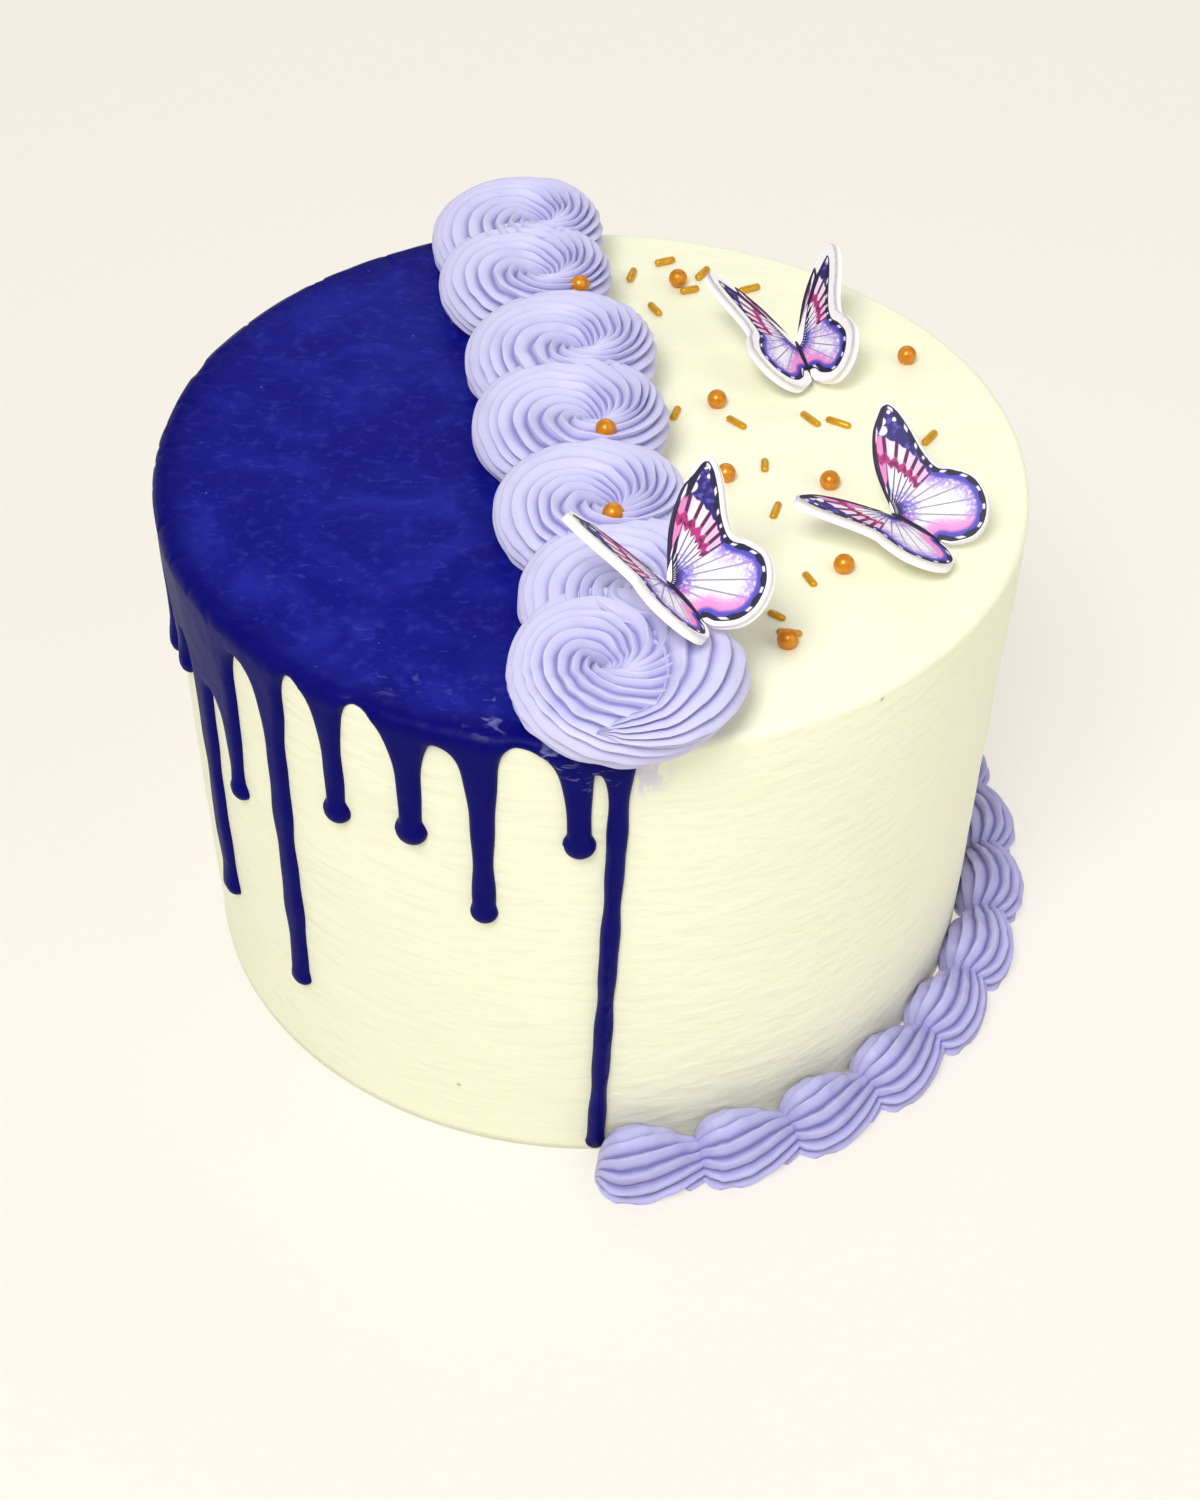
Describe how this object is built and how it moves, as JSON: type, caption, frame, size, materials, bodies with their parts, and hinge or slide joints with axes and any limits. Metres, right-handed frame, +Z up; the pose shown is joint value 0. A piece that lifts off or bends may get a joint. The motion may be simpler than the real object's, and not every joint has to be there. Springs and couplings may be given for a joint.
{
  "type": "drip cake",
  "caption": "Tall round frosted cake with a half top of blue drip glaze, a row of piped rosettes, a shell border and folded wafer butterflies.",
  "frame": {"origin": "centre of the cake's round underside", "axes": "+Z up, -Y towards the front of the cake, where the row of rosettes meets the rim, +X towards the shell border"},
  "size_m": [0.2364, 0.2487, 0.1872],
  "materials": {
    "cream_frosting": "smooth pale cream buttercream",
    "blue_glaze": "semi-gloss deep blue glaze",
    "lavender_rosette": "piped pale lavender buttercream",
    "lavender_border": "piped lavender buttercream, a little deeper than the rosettes",
    "wafer": "matt white wafer with a printed wing pattern",
    "gold_sugar": "satin gold sugar"
  },
  "bodies": {
    "root": {"cake_body": "cream_frosting", "drip_glaze": "blue_glaze", "rosette_1": "lavender_rosette", "rosette_2": "lavender_rosette", "rosette_3": "lavender_rosette", "rosette_4": "lavender_rosette", "rosette_5": "lavender_rosette", "rosette_6": "lavender_rosette", "rosette_7": "lavender_rosette", "shell_1": "lavender_border", "shell_2": "lavender_border", "shell_3": "lavender_border", "shell_4": "lavender_border", "shell_5": "lavender_border", "shell_6": "lavender_border", "shell_7": "lavender_border", "shell_8": "lavender_border", "shell_9": "lavender_border", "shell_10": "lavender_border", "shell_11": "lavender_border", "shell_12": "lavender_border", "shell_13": "lavender_border", "shell_14": "lavender_border", "shell_15": "lavender_border", "butterfly_back": "wafer", "butterfly_right": "wafer", "butterfly_front": "wafer"}
  },
  "joints": []
}
